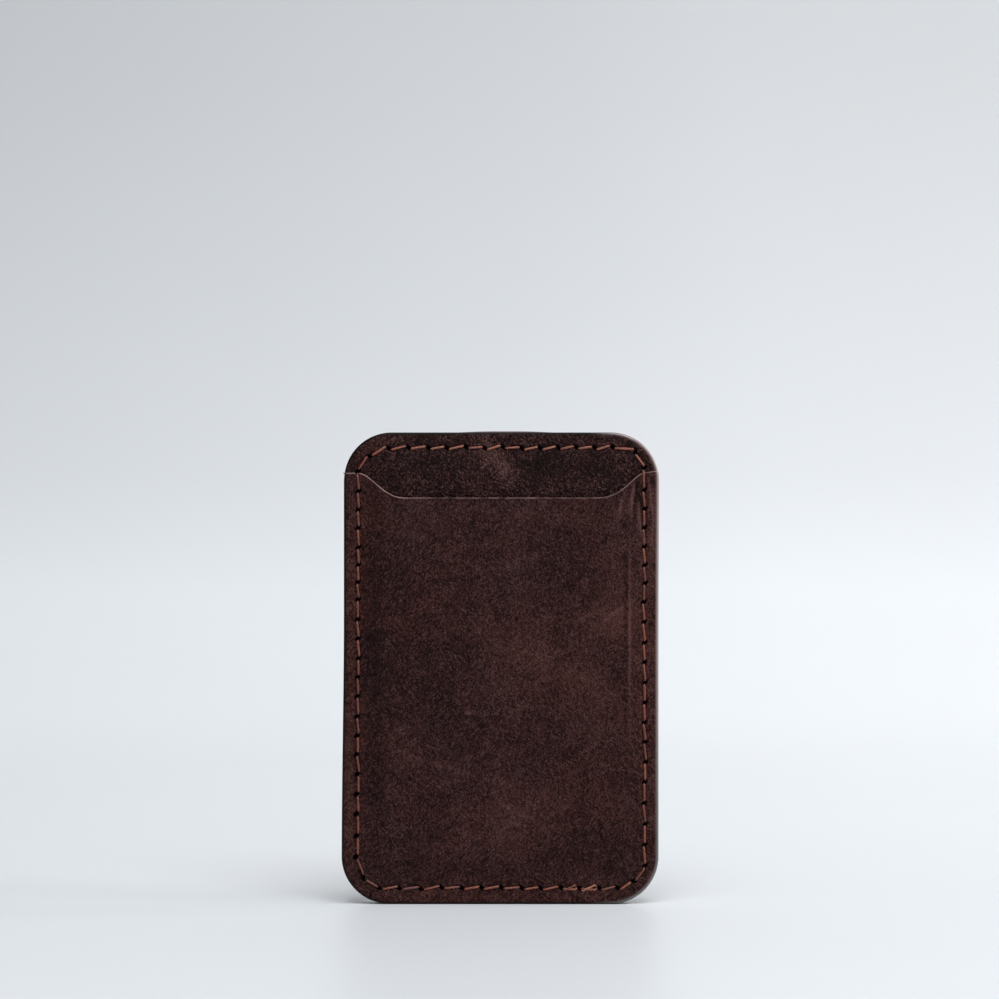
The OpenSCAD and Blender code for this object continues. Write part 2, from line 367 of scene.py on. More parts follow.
def noise(tree, at, size, detail, **more):
    """A noise texture whose features are size across, as its factor."""
    sockets = {"Vector": at, "Scale": 1 / size, "Detail": detail}
    sockets.update({key.capitalize(): value for key, value in more.items()})
    return add(tree, "ShaderNodeTexNoise", sockets).outputs["Fac"]


def painted(tree, name):
    """What paint() stored under this name."""
    return add(tree, "ShaderNodeAttribute", attribute_name=name).outputs["Fac"]


def sums(tree, operation, *values, clamp=False):
    """One step of arithmetic."""
    return add(tree, "ShaderNodeMath", dict(enumerate(values)),
               operation=operation, use_clamp=clamp).outputs[0]


def new_material(name):
    material = bpy.data.materials.new(name)
    material.use_nodes = True
    tree = material.node_tree
    tree.nodes.clear()
    return material, tree


def finish_material(tree, surface):
    add(tree, "ShaderNodeOutputMaterial", {"Surface": surface.outputs[0]})


def pull_up_leather(name, seed, pebbling_and_glints=1.0):
    """Waxed pull-up cowhide, dark brown: the wax shifts in the hide as it bends, which leaves
    reddish and nearly black clouds, over a fine pebble grain with small painted glints and
    painted shade in its valleys."""
    material, tree = new_material(name)
    place_on = add(tree, "ShaderNodeTexCoord").outputs["Object"]
    at = add(tree, "ShaderNodeMapping", {
        "Vector": place_on, "Location": (seed * 0.37, seed * 0.61, seed * 0.23),
    }).outputs["Vector"]
    clouds = noise(tree, at, 17 * MM, 3.0, roughness=0.5, distortion=0.5)
    smudge = noise(tree, at, 1.9 * MM, 2.0, roughness=0.55, distortion=0.8)
    # The pebbles of the grain are 0.6 mm across, with painted shade in the valley round each.
    wobble = add(tree, "ShaderNodeTexNoise", {"Vector": at, "Scale": 1 / (0.9 * MM), "Detail": 2.0})
    bent = add(tree, "ShaderNodeMix", {0: 0.00045, 4: at, 5: wobble.outputs["Color"]},
               data_type="VECTOR", blend_type="MIX").outputs[1]
    pebble, valley = (add(tree, "ShaderNodeTexVoronoi", {
        "Vector": bent, "Scale": 1 / (0.62 * MM), "Randomness": 1.0,
    }, feature=feature).outputs["Distance"] for feature in ("F1", "DISTANCE_TO_EDGE"))
    # Short strokes where the grain was rubbed: fine noise drawn out to 1 mm, in two directions
    # that take turns every few millimetres, and level ones over both.
    strokes = []
    for turn in (0.75, -0.95, -0.1):
        slanted = add(tree, "ShaderNodeMapping", {
            "Vector": at, "Rotation": (0, turn, 0), "Scale": (1.0, 1.0, 3.4),
        }, vector_type="TEXTURE").outputs["Vector"]
        strokes.append(noise(tree, slanted, 0.30 * MM, 2.5, roughness=0.6, distortion=0.9))
    turns = noise(tree, at, 5 * MM, 1.0)
    rubbed = mixed(tree, ramp(tree, turns, (0.42, 0.0), (0.58, 1.0)), strokes[0], strokes[1])
    grit = noise(tree, at, 0.26 * MM, 3.0, roughness=0.7)
    base = ramp(tree, clouds, (0.30, "#2e1413"), (0.5, "#341715"), (0.70, "#3b1b17"))
    rust = sums(tree, "MULTIPLY", painted(tree, "rust"), smudge, clamp=True)
    base = mixed(tree, rust, base, linear("#5a2c20"))
    mottled = ramp(tree, smudge, (0.30, 0.34), (0.5, 0.5), (0.70, 0.64))
    base = mixed(tree, 0.25, base, mottled, "OVERLAY")
    tone_and_painted_light = painted(tree, "tone_and_painted_light")
    grain = sums(tree, "MULTIPLY", strokes[2], 0.25)
    for layer, share in ((rubbed, 0.42), (grit, 0.33), (smudge, 0.06), (tone_and_painted_light, 0.15)):
        grain = sums(tree, "MULTIPLY_ADD", layer, share, grain)
    base = mixed(tree, 1.0, base, ramp(tree, grain, (0.44, 0.10), (0.54, 1.0)), "MULTIPLY")
    # Painted glints: where the grain is highest the colour turns pale pinkish grey, a painted
    # highlight.
    glints = ramp(tree, grain, (0.52, 0.0), (0.62, 0.46 * pebbling_and_glints))
    base = mixed(tree, glints, base, linear("#6d504d"))
    # Painted shade: the colour is darkened in the valleys between the pebbles.
    base = mixed(tree, 1.0, base, ramp(tree, valley, (0.0, 0.40), (0.12, 1.0)), "MULTIPLY")
    # Paler and darker tone; on the pocket leather this also carries a painted highlight and painted
    # shade along the card's imprint.
    base = mixed(tree, sums(tree, "MULTIPLY", tone_and_painted_light, 0.28, clamp=True), base, linear("#80544b"))
    base = mixed(tree, sums(tree, "MULTIPLY", tone_and_painted_light, -0.8, clamp=True), base, linear("#1c100f"))
    edge = painted(tree, "edge")
    base = mixed(tree, edge, base, linear("#180e0d"))
    # The pale raw colour: cut edges of raw leather, and painted highlights on the right-hand edge, on
    # the curves of the pocket's mouth and on the top of the rear sheet.
    base = mixed(tree, painted(tree, "raw_and_painted_highlight"), base, linear("#91736d"))
    # Painted shade: the needle holes are painted near black.
    base = mixed(tree, painted(tree, "hole"), base, linear("#050303"))
    relief = sums(tree, "MULTIPLY", pebble, -0.8 * pebbling_and_glints)
    for layer, share in ((rubbed, 0.8), (strokes[2], 0.4), (grit, 0.5), (smudge, 1.0)):
        relief = sums(tree, "MULTIPLY_ADD", layer, share, relief)
    # A burnished edge is smooth, so the grain's relief fades out on it.
    grained = sums(tree, "SUBTRACT", 1.0, edge, clamp=True)
    bump = add(tree, "ShaderNodeBump", {
        "Height": relief, "Strength": grained, "Distance": 0.16 * MM,
    })
    gloss = mixed(tree, edge, ramp(tree, smudge, (0.3, 0.60), (0.7, 0.46)), linear("#8f8f8f"))
    finish_material(tree, add(tree, "ShaderNodeBsdfPrincipled", {
        "Base Color": base, "Roughness": gloss, "IOR": 1.45, "Specular IOR Level": 0.09,
        "Coat Weight": painted(tree, "polish"), "Coat Roughness": 0.32, "Coat IOR": 2.1,
        "Normal": bump.outputs["Normal"],
    }))
    return material


def wear(material, piece):
    """Gives a finished piece its material and hangs it on the model."""
    piece.data.materials.clear()
    piece.data.materials.append(material)
    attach(piece, "root")


# The ring of magnets shows through the leather as a soft raised ring, with the bar below it.
RING_Z = 65 * MM
RING_INNER = 23 * MM
RING_OUTER = 27.5 * MM
BAR_HALF_W = 3 * MM
BAR_HALF_H = 10 * MM
BAR_Z = RING_Z - 41.7 * MM
MOULD = 1.3 * MM
BACK_FACE = rear_high.y - RELIEF
RING_GAP = math.radians(36)
RING_START = RING_GAP / 2 - math.pi / 2
RING_TURN = 2 * math.pi - RING_GAP


def magnet_relief(x, z):
    """0 to 1: how far the rear leather is pushed out over the magnets."""
    radius = np.hypot(x, z - RING_Z)
    ring = smooth(RING_INNER - MOULD, RING_INNER, radius)
    ring *= 1 - smooth(RING_OUTER, RING_OUTER + MOULD, radius)
    gap = np.abs(np.arctan2(x, RING_Z - z)) * radius
    ring *= smooth(7.6 * MM, 9.4 * MM, gap)
    bar = (1 - smooth(BAR_HALF_W, BAR_HALF_W + MOULD, abs(x))) * (
        1 - smooth(BAR_HALF_H, BAR_HALF_H + MOULD, abs(z - BAR_Z)))
    return np.maximum(ring, bar)


CLEARANCE = 0.1 * MM


def carve(piece, cutter):
    """Cuts the cutter's shape out of the piece, and removes the cutter."""
    cut = piece.modifiers.new("cut", "BOOLEAN")
    cut.operation, cut.solver, cut.object = "DIFFERENCE", "EXACT", cutter
    bpy.ops.object.select_all(action="DESELECT")
    piece.select_set(True)
    bpy.context.view_layer.objects.active = piece
    bpy.ops.object.modifier_apply(modifier=cut.name)
    bpy.data.objects.remove(cutter)


def channel_cutter(low_y, high_y):
    """The space for the magnets: an open ring, spun about its middle, and the bar below it. The
    gap of this ring is at the upper right, though the gap between the magnets is at the bottom."""
    bpy.ops.object.select_all(action="DESELECT")
    bpy.ops.mesh.primitive_plane_add(size=1)
    cutter = bpy.context.object
    inner, outer = RING_INNER - CLEARANCE, RING_OUTER + CLEARANCE
    cutter.scale = (outer - inner, high_y - low_y + 2 * CLEARANCE, 1)
    cutter.location = ((inner + outer) / 2, (low_y + high_y) / 2, RING_Z)
    bpy.ops.object.transform_apply(location=True, rotation=True, scale=True)
    bpy.ops.object.mode_set(mode="EDIT")
    bpy.ops.mesh.select_all(action="SELECT")
    bpy.ops.transform.rotate(value=-RING_START, orient_axis="Y", center_override=(0, 0, RING_Z))
    bpy.ops.mesh.spin(steps=72, angle=RING_TURN, center=(0, 0, RING_Z), axis=(0, 1, 0))
    bpy.ops.mesh.select_all(action="SELECT")
    bpy.ops.mesh.normals_make_consistent(inside=False)
    bpy.ops.mesh.primitive_cube_add(
        size=1, location=(0, (low_y + high_y) / 2, BAR_Z),
        scale=(
            2 * (BAR_HALF_W + CLEARANCE), high_y - low_y + 2 * CLEARANCE, 2 * (BAR_HALF_H + CLEARANCE),
        ),
    )
    bpy.ops.object.mode_set(mode="OBJECT")
    return cutter


def round_upright(block, radius):
    """Rounds the four edges of a block that run along Y."""
    start, end = edge_ends(block)
    pick(block, "EDGE", abs(start[:, 1] - end[:, 1]) > 0.1 * MM)
    bpy.ops.mesh.bevel(offset=radius, segments=8, affect="EDGES")
    bpy.ops.object.mode_set(mode="OBJECT")


rear = ruled_sheet("rear_leather", ruled(WIDTH), ruled(HEIGHT))
finer_seam(rear)
co = points(rear)
rim = from_rim(co[:, 0], co[:, 2])
round_corners(co)
x, z = co[:, 0].copy(), co[:, 2].copy()
seam_height, hole = needle_work(x, z, SEAM_HOLES, STITCHES)
out = RELIEF * magnet_relief(x, z) + seam_height - edge_roll(rim, 0.55 * MM)
out += 0.05 * MM * drift(x, z, 9 * MM, 3) * smooth(0, 3 * MM, rim)
co[:, 1] = BACK_FACE + np.minimum(out, RELIEF)
hand_cut(co)
# The rear sheet was cut a touch tall in the middle, and stands up behind the top edge there.
proud = np.exp(-(((x - 0.9 * MM) / (8.5 * MM)) ** 4))
co[:, 2] += 0.26 * MM * proud * smooth(HEIGHT - 3 * MM, HEIGHT, z)
place(rear, co)
paint(rear, "hole", hole)
# Where the sheet stands up, its edge gets the pale raw colour instead of edge paint: raw leather, with
# a painted highlight for the top of the sheet.
lifted = np.exp(-(((x - 0.9 * MM) / (10 * MM)) ** 4))
lifted *= smooth(HEIGHT - 1.2 * MM, HEIGHT - 0.2 * MM, z)
paint(rear, "edge", (1 - smooth(0.2 * MM, 0.8 * MM, rim)) * (1 - lifted))
paint(rear, "raw_and_painted_highlight", 0.6 * lifted)
# The raised ring and bar are rubbed paler where they touch the phone, a paler colour that is
# also a painted highlight on the raised relief.
wear_and_highlight = 0.45 + 0.2 * drift(x, z, 4 * MM, 2)
paint(rear, "tone_and_painted_light", 0.06 * drift(x, z, 12 * MM, 8) + wear_and_highlight * magnet_relief(x, z))
close_back(rear, 1, rear_low.y)
film_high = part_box("ring_film")[1]
carve(rear, channel_cutter(rear_low.y - 0.3 * MM, film_high.y - CLEARANCE))
wear(pull_up_leather("pull_up_leather_rear", 3), rear)
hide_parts("rear_panel")

# ---------------------------------------------------------------------------------------------
# Adhesive films: thin double-sided film that holds the magnets to the rear leather. A milky
# acrylic layer with a faint haze and a few trapped bubbles.
# ---------------------------------------------------------------------------------------------
def dress(material, *names):
    """Gives CAD nodes that are shown as they are their finish."""
    for name in names:
        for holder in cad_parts[name].material_slots:
            holder.material = material


film, tree = new_material("acrylic_transfer_film")
at = add(tree, "ShaderNodeTexCoord").outputs["Object"]
haze = noise(tree, at, 2.5 * MM, 4.0)
bubbles = add(tree, "ShaderNodeTexVoronoi", {
    "Vector": at, "Scale": 1 / (1.8 * MM), "Randomness": 1.0,
})
raised = ramp(tree, bubbles.outputs["Distance"], (0.0, 1.0), (0.22, 0.0))
milky = ramp(tree, haze, (0.35, "#d8d4c8"), (0.65, "#ebe8df"))
bump = add(tree, "ShaderNodeBump", {"Height": raised, "Strength": 0.3, "Distance": 0.05 * MM})
finish_material(tree, add(tree, "ShaderNodeBsdfPrincipled", {
    "Base Color": milky, "Roughness": ramp(tree, haze, (0.3, 0.26), (0.7, 0.42)),
    "IOR": 1.47, "Normal": bump.outputs["Normal"],
}))
dress(film, "ring_film", "bar_film")

# ---------------------------------------------------------------------------------------------
# Magnets: eighteen sintered neodymium arcs in an open ring and two blocks in a bar below it,
# pressed, tumbled and nickel plated, so they are bright with a faint orange peel and fine marks.
# ---------------------------------------------------------------------------------------------
nickel, tree = new_material("nickel_plated_neodymium")
at = add(tree, "ShaderNodeTexCoord").outputs["Object"]
peel = noise(tree, at, 0.35 * MM, 3.0, roughness=0.55)
patch = noise(tree, at, 4 * MM, 3.0)
plated = ramp(tree, patch, (0.35, "#b9b7b0"), (0.65, "#d3d1ca"))
bump = add(tree, "ShaderNodeBump", {"Height": peel, "Strength": 0.25, "Distance": 0.03 * MM})
finish_material(tree, add(tree, "ShaderNodeBsdfPrincipled", {
    "Base Color": plated, "Metallic": 1.0,
    "Roughness": ramp(tree, patch, (0.3, 0.2), (0.7, 0.34)),
    "Normal": bump.outputs["Normal"],
}))
dress(nickel, *(f"ring_magnet_{k}" for k in range(1, 19)), "upper_bar_magnet", "lower_bar_magnet")

# ---------------------------------------------------------------------------------------------
# Shunts and shield: stamped from cold-rolled steel strip. The shunts close the field behind the
# magnets and the shield keeps it off the card. Grey, with the fine streaks of the rolling mill.
# ---------------------------------------------------------------------------------------------
steel, tree = new_material("cold_rolled_steel_strip")
at = add(tree, "ShaderNodeTexCoord").outputs["Object"]
rolled = add(tree, "ShaderNodeMapping", {"Vector": at, "Scale": (1.0, 1.0, 0.03)}).outputs["Vector"]
streaks = noise(tree, rolled, 0.3 * MM, 4.0, roughness=0.6)
stain = noise(tree, at, 9 * MM, 4.0)
grey = ramp(tree, streaks, (0.3, "#84888c"), (0.7, "#a2a5a8"))
grey = mixed(tree, ramp(tree, stain, (0.55, 0.0), (0.8, 0.5)), grey, linear("#7c776f"))
bump = add(tree, "ShaderNodeBump", {"Height": streaks, "Strength": 0.3, "Distance": 0.02 * MM})
finish_material(tree, add(tree, "ShaderNodeBsdfPrincipled", {
    "Base Color": grey, "Metallic": 1.0,
    "Roughness": ramp(tree, streaks, (0.3, 0.3), (0.7, 0.42)),
    "Normal": bump.outputs["Normal"],
}))
dress(steel, "shunt_ring", "shunt_bar", "shield_plate")

# ---------------------------------------------------------------------------------------------
# Stiffener board: 0.9 mm bonded leather board, ground leather fibres pressed into a sheet. The
# magnets and the shield drop into it. Its edge is dyed with the rest and shows between the layers.
# ---------------------------------------------------------------------------------------------
board_low, board_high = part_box("stiffener_board")
board = ruled_sheet("bonded_board", ruled(WIDTH, 1.2 * MM), ruled(HEIGHT, 1.2 * MM))
co = points(board)
rim = from_rim(co[:, 0], co[:, 2])
round_corners(co)
co[:, 1] = board_low.y + edge_roll(rim, 0.1 * MM)
hand_cut(co)
inset = 0.06 * MM
co[:, 0] *= 1 - inset / HALF
co[:, 2] = HEIGHT / 2 + (co[:, 2] - HEIGHT / 2) * (1 - 2 * inset / HEIGHT)
place(board, co)
paint(board, "edge", 1 - smooth(0.1 * MM, 0.5 * MM, rim))
close_back(board, -1, board_high.y)
carve(board, channel_cutter(board_low.y, board_high.y))
shield_low, shield_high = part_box("shield_plate")
bpy.ops.object.select_all(action="DESELECT")
bpy.ops.mesh.primitive_cube_add(size=1)
recess = bpy.context.object
recess.scale = (shield_high.x - shield_low.x + 2 * CLEARANCE, 2 * (shield_high.y - board_low.y),
                shield_high.z - shield_low.z + 2 * CLEARANCE)
recess.location = (0, board_low.y, (shield_low.z + shield_high.z) / 2)
bpy.ops.object.transform_apply(location=True, rotation=True, scale=True)
round_upright(recess, 3.1 * MM)
carve(board, recess)

bonded, tree = new_material("bonded_leather_board")
at = add(tree, "ShaderNodeTexCoord").outputs["Object"]
fibres = noise(tree, at, 0.5 * MM, 6.0, roughness=0.7, distortion=2.0)
flecks = add(tree, "ShaderNodeTexVoronoi", {
    "Vector": at, "Scale": 1 / (1.1 * MM), "Randomness": 1.0,
})
pulp = ramp(tree, fibres, (0.3, "#4a382b"), (0.55, "#5d4839"), (0.75, "#735b48"))
flecked = ramp(tree, flecks.outputs["Distance"], (0.05, 0.6), (0.2, 0.0))
pulp = mixed(tree, flecked, pulp, linear("#3a2a20"))
pulp = mixed(tree, painted(tree, "edge"), pulp, linear("#2a1b18"))
bump = add(tree, "ShaderNodeBump", {"Height": fibres, "Strength": 0.6, "Distance": 0.08 * MM})
finish_material(tree, add(tree, "ShaderNodeBsdfPrincipled", {
    "Base Color": pulp, "Roughness": ramp(tree, fibres, (0.3, 0.72), (0.7, 0.9)),
    "IOR": 1.46, "Normal": bump.outputs["Normal"],
}))
wear(bonded, board)
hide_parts("stiffener_board")

# ---------------------------------------------------------------------------------------------
# Card panel: 1.2 mm of the same cowhide, the layer behind the card, seen above the mouth of the
# pocket. Its top edge and its upper stitches show, and the rest is hidden by the pocket leather.
# ---------------------------------------------------------------------------------------------
card_low, card_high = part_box("card_panel")
MOUTH = 85.3 * MM
SHOULDER = 90.5 * MM


def mouth(x):
    """Height of the pocket's scooped mouth: a long level stretch with an S up to each side."""
    left = smooth(0, 1, np.clip((-x - 19.8 * MM) / (10.2 * MM), 0, 1) ** 1.3)
    right = smooth(0, 1, np.clip((x - 18 * MM) / (12 * MM), 0, 1) ** 1.85)
    lift = 0.45 * MM * smooth(29 * MM, 33 * MM, x)
    return MOUTH + (SHOULDER - MOUTH) * (left + right) + lift


def marks(x, z, spots):
    """Adds up soft oval marks: each is x, z, half length, half width in mm, turn and strength."""
    total = np.zeros_like(x)
    for mark_x, mark_z, length, width, turn, strength in spots:
        a = math.radians(turn)
        along = ((x / MM - mark_x) * math.cos(a) + (z / MM - mark_z) * math.sin(a)) / length
        across = (-(x / MM - mark_x) * math.sin(a) + (z / MM - mark_z) * math.cos(a)) / width
        total += strength * np.exp(-(along**2 + across**2))
    return total


def upright_run(low_z, high_z, step=GRID_STEP):
    """Evenly spaced grid lines up the sheet, from low_z to high_z."""
    return np.linspace(low_z, high_z, max(2, round((high_z - low_z) / step)) + 1)


card = ruled_sheet("card_leather", ruled(WIDTH), np.concatenate([
    [d * MM for d in RIM_LINES[:-1]], np.linspace(1.8 * MM, 82 * MM, 33)[:-1],
    np.linspace(82 * MM, HEIGHT - CORNER, 14),
    HEIGHT - CORNER + (CORNER - ruled(WIDTH)[:CORNER_RULED][::-1])[1:],
]))
finer_seam(card, lowest=86 * MM)
co = points(card)
rim = from_rim(co[:, 0], co[:, 2])
round_corners(co)
x, z = co[:, 0].copy(), co[:, 2].copy()
on_card = [k for k, hole in enumerate(SEAM_HOLES) if hole[1] > 90 * MM]
seam_height, hole = needle_work(
    x, z, [SEAM_HOLES[k] for k in on_card],
    [run for run in STITCHES if min(run[0][1], run[1][1]) > 89.5 * MM],
)
out = seam_height - edge_roll(rim, 0.5 * MM)
out = out + 0.05 * MM * drift(x, z, 8 * MM, 21) * smooth(0, 3 * MM, rim)
out = np.where(z > mouth(x) - 1 * MM, out, np.minimum(out, 0))
co[:, 1] = card_low.y - out
hand_cut(co)
place(card, co)
paint(card, "hole", hole)
paint(card, "edge", 1 - smooth(0.15 * MM, 0.7 * MM, rim))
paint(card, "polish", (1 - smooth(0.3 * MM, 0.9 * MM, rim)) * smooth(18 * MM, 28 * MM, x))
# Painted highlight: a pale strip on the rounded right-hand edge near the top corner.
painted_edge_highlight = (1 - smooth(0.28 * MM, 0.7 * MM, rim)) * smooth(20 * MM, 28 * MM, x)
paint(card, "raw_and_painted_highlight", 0.8 * painted_edge_highlight)
paint(card, "tone_and_painted_light", marks(x, z, [
    (-2.6, 94.6, 6.5, 2.2, -52, 0.26), (1.6, 90.4, 4.0, 2.6, -50, 0.18), (9, 93, 6, 3.4, 0, -0.24),
    (-14, 92, 8, 4, 0, -0.10), (-24, 90, 4, 4, 0, -0.10), (20, 91, 5, 3, 0, -0.10),
    (-26, 97.0, 5, 1.4, 20, 0.12), (25, 97, 5, 1.4, -20, 0.05),
]) + 0.05 * drift(x, z, 5 * MM, 31) - 0.13)
paint(card, "rust", marks(x, z, [
    (-27, 95, 6, 3, 40, 0.3), (-15, 97.5, 9, 1.2, 0, 0.2), (15, 97.5, 9, 1.2, 0, 0.2),
]))
close_back(card, -1, card_high.y, rim_round=0.1 * MM)
wear(pull_up_leather("pull_up_leather_card", 7, pebbling_and_glints=1.9), card)
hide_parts("card_panel")

# ---------------------------------------------------------------------------------------------
# Pocket leather: 1.4 mm cowhide, sewn down on three sides and scooped along its mouth, where the
# knife left a pale raw edge. A bank card has pressed its shape into it.
# ---------------------------------------------------------------------------------------------
front_low, front_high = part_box("front_pocket_panel")
BULGE = 0.8 * MM
FRONT_FACE = front_low.y + BULGE
POCKET_TOP = 91 * MM


def card_shape(x, z):
    """0 to 1: how far the leather has taken the shape of the card behind it."""
    left = smooth(-29.4 * MM, -24.6 * MM, x)
    right = 1 - smooth(25.2 * MM, 28.4 * MM, x)
    foot = smooth(4.6 * MM, 11 * MM, z)
    return left * right * foot


# Creases and wrinkles: x, z, half length, half width in mm, turn and depth.
CREASES = [
    (26.9, 58, 17, 0.55, 90, 0.16), (26.6, 77, 9, 0.5, 92, 0.12), (26.9, 30, 13, 0.5, 89, 0.08),
    (-26.3, 45, 40, 1.2, 90, 0.12), (-24.6, 66, 14, 0.6, 91, 0.05),
    (27.4, 85.0, 3.2, 0.5, 84, 0.16), (28.7, 80.5, 3.6, 0.5, 97, 0.14),
    (31.3, 84, 3.4, 0.45, 98, 0.12), (24.8, 83.0, 2.6, 0.5, 80, 0.12),
    (31.3, 76, 4, 0.5, 86, 0.10), (19, 60.4, 3.2, 0.45, 24, 0.08),
    (22.5, 59.6, 3.0, 0.45, 38, 0.08), (25.0, 61.4, 2.6, 0.45, 30, 0.08),
    (16.4, 58.4, 2.2, 0.45, 12, 0.06), (-12, 29.0, 10, 0.6, -18, -0.06),
    (-28.7, 62, 2.6, 0.45, 75, 0.07), (-23, 70, 3, 0.5, 60, 0.07), (-20, 54, 4, 0.5, 48, 0.07),
    (-15.5, 63, 4, 0.6, 118, 0.06), (-9, 47, 5, 0.6, 140, 0.06), (4, 72, 5, 0.6, 70, 0.05),
    (22, 72, 7, 0.6, 88, 0.06), (17, 78, 5, 0.6, 96, 0.05), (10, 80, 4, 0.6, 82, 0.04),
]

front = ruled_sheet("pocket_leather", ruled(WIDTH), np.concatenate([
    ruled(HEIGHT)[:CORNER_RULED], upright_run(CORNER, POCKET_TOP - 3 * MM)[1:],
    np.linspace(POCKET_TOP - 3 * MM, POCKET_TOP - 1.8 * MM, 5)[1:-1],
    [POCKET_TOP - d * MM for d in reversed(RIM_LINES)],
]))
finer_seam(front, top=1.0)
co = points(front)
side_rim = np.minimum(HALF - abs(co[:, 0]), co[:, 2])
round_corners(co, round_top=False)
high = np.clip(co[:, 2] - (HEIGHT - CORNER), 0, CORNER)
co[:, 0] *= (HALF - CORNER + np.sqrt(CORNER**2 - high**2)) / HALF
x = co[:, 0].copy()
co[:, 2] += (mouth(x) - POCKET_TOP) * smooth(74 * MM, POCKET_TOP - 2.6 * MM, co[:, 2])
z = co[:, 2].copy()
slope = (mouth(x + 0.1 * MM) - mouth(x - 0.1 * MM)) / (0.2 * MM)
mouth_rim = (mouth(x) - z) / np.sqrt(1 + slope**2)
on_front = [k for k, hole in enumerate(SEAM_HOLES) if hole[1] < 91.6 * MM]
seam_height, hole = needle_work(
    x, z, [SEAM_HOLES[k] for k in on_front],
    [run for run in STITCHES if max(run[0][1], run[1][1]) < 92 * MM],
)
wave = drift(x, z, 9 * MM, 41) + 0.5 * drift(x, z, 4 * MM, 43)
inner = smooth(0, 3.5 * MM, np.minimum(side_rim, mouth_rim + 2 * MM))
out = BULGE * card_shape(x, z) + seam_height + 0.05 * MM * wave * inner
out -= MM * marks(x, z, CREASES) * inner
out -= edge_roll(side_rim, 0.75 * MM) + edge_roll(mouth_rim, 0.22 * MM)
out = np.minimum(out, BULGE)
co[:, 1] = FRONT_FACE - out
hand_cut(co)
place(front, co)
paint(front, "hole", hole)
below_mouth = smooth(0.3 * MM, 1 * MM, mouth_rim)
paint(front, "edge", (1 - smooth(0.15 * MM, 0.7 * MM, side_rim)) * below_mouth)
paint(front, "polish", (1 - smooth(0.3 * MM, 0.9 * MM, side_rim)) * smooth(18 * MM, 28 * MM, x))
# Scuffs along the raw edge of the mouth, and a painted highlight on the curves at both ends of the
# mouth, stronger on the left.
scuffs_and_highlight = 0.42 + 0.34 * drift(x, z, 1.5 * MM, 51)
scuffs_and_highlight += 0.45 * smooth(15 * MM, 22 * MM, -x) + 0.2 * smooth(20 * MM, 24 * MM, x)
# Painted highlight: a pale strip down the rounded right-hand edge, fading out towards the bottom.
painted_edge_highlight = (1 - smooth(0.28 * MM, 0.7 * MM, side_rim)) * smooth(29 * MM, 32 * MM, x)
painted_edge_highlight *= smooth(8 * MM, 60 * MM, z)
cut_mouth = np.clip((1 - smooth(0.08 * MM, 0.26 * MM, mouth_rim)) * scuffs_and_highlight, 0, 1)
paint(front, "raw_and_painted_highlight", np.maximum(cut_mouth, 0.85 * painted_edge_highlight))
# Paler and darker patches, scuffs and pale cracks in the wax, and painted light: a painted highlight
# along the right edge of the card's imprint, with painted shade beside it and along the imprint's left
# edge.
paint(front, "tone_and_painted_light", marks(x, z, [
    (-20, 55, 9, 15, 0, -0.12), (-26.5, 50, 2.4, 34, 0, -0.14), (9, 51, 17, 4, -28, 0.16),
    (24.3, 59.8, 6, 4, 0, 0.16), (2.9, 17.7, 9.5, 6.3, 0, 0.14), (20, 12, 10, 5, 0, -0.10),
    (-6.8, 40.2, 0.5, 0.4, 0, 0.8), (1.6, 20.4, 0.5, 0.4, 20, 0.7), (3.5, 16.7, 0.4, 0.4, 0, 0.6),
    (-7.6, 15, 0.5, 0.4, 0, 0.7), (-12, 29, 10, 0.5, -18, 0.2), (30.5, 74, 2, 12, 0, 0.14),
    (30.5, 40, 2, 20, 0, 0.08), (-31.5, 40, 1.2, 40, 0, 0.12), (0, 82, 18, 3, 0, 0.06),
    (19, 61, 3.2, 0.35, 24, 0.3), (22.5, 60.2, 3.0, 0.35, 38, 0.3), (25.0, 62.0, 2.6, 0.3, 30, 0.25),
    (27.5, 85.2, 3.2, 0.3, 84, 1.1), (28.9, 81, 3.6, 0.3, 97, 0.8), (31.5, 84, 3.2, 0.3, 98, 1.0),
    (26.8, 58, 15, 0.25, 90, 0.6), (24.9, 83, 2.6, 0.3, 80, 0.6), (31.6, 77, 4, 0.3, 86, 0.5),
    (28.1, 85.4, 3.4, 0.35, 86, -0.7), (26.2, 56, 18, 0.5, 90, -0.35), (29.6, 82, 4, 0.4, 97, -0.5),
]) + 0.05 * drift(x, z, 7 * MM, 61) + 0.04 * drift(x, z, 3 * MM, 63))
paint(front, "rust", marks(x, z, [
    (9, 51, 17, 5, -28, 0.4), (24, 60, 7, 5, 0, 0.35), (3, 18, 10, 7, 0, 0.35),
    (-30.5, 50, 1.8, 45, 0, 0.35), (30.5, 45, 2, 45, 0, 0.3), (-26, 82, 3, 6, 0, 0.45),
    (-16, 60, 6, 6, 0, 0.2), (0, 1.8, 30, 1.4, 0, 0.3),
]))
close_back(front, -1, front_high.y, rim_round=0.1 * MM)
bpy.ops.object.select_all(action="DESELECT")
bpy.ops.mesh.primitive_cube_add(size=1)
pocket = bpy.context.object
CARD_SPACE_W, CARD_SPACE_FLOOR = 55 * MM, 5 * MM
pocket.scale = (CARD_SPACE_W, 2 * BULGE, HEIGHT)
pocket.location = (0, front_high.y, CARD_SPACE_FLOOR + HEIGHT / 2)
bpy.ops.object.transform_apply(location=True, rotation=True, scale=True)
round_upright(pocket, 3 * MM)
carve(front, pocket)
# The knife left a whisker of leather at the left end of the mouth.
co = points(front)
at_mouth = np.exp(-(((co[:, 2] - SHOULDER) / (0.2 * MM)) ** 2))
co[:, 0] -= 0.4 * MM * at_mouth * (co[:, 0] < 0.3 * MM - HALF)
place(front, co)
wear(pull_up_leather("pull_up_leather_pocket", 1), front)
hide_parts("front_pocket_panel")

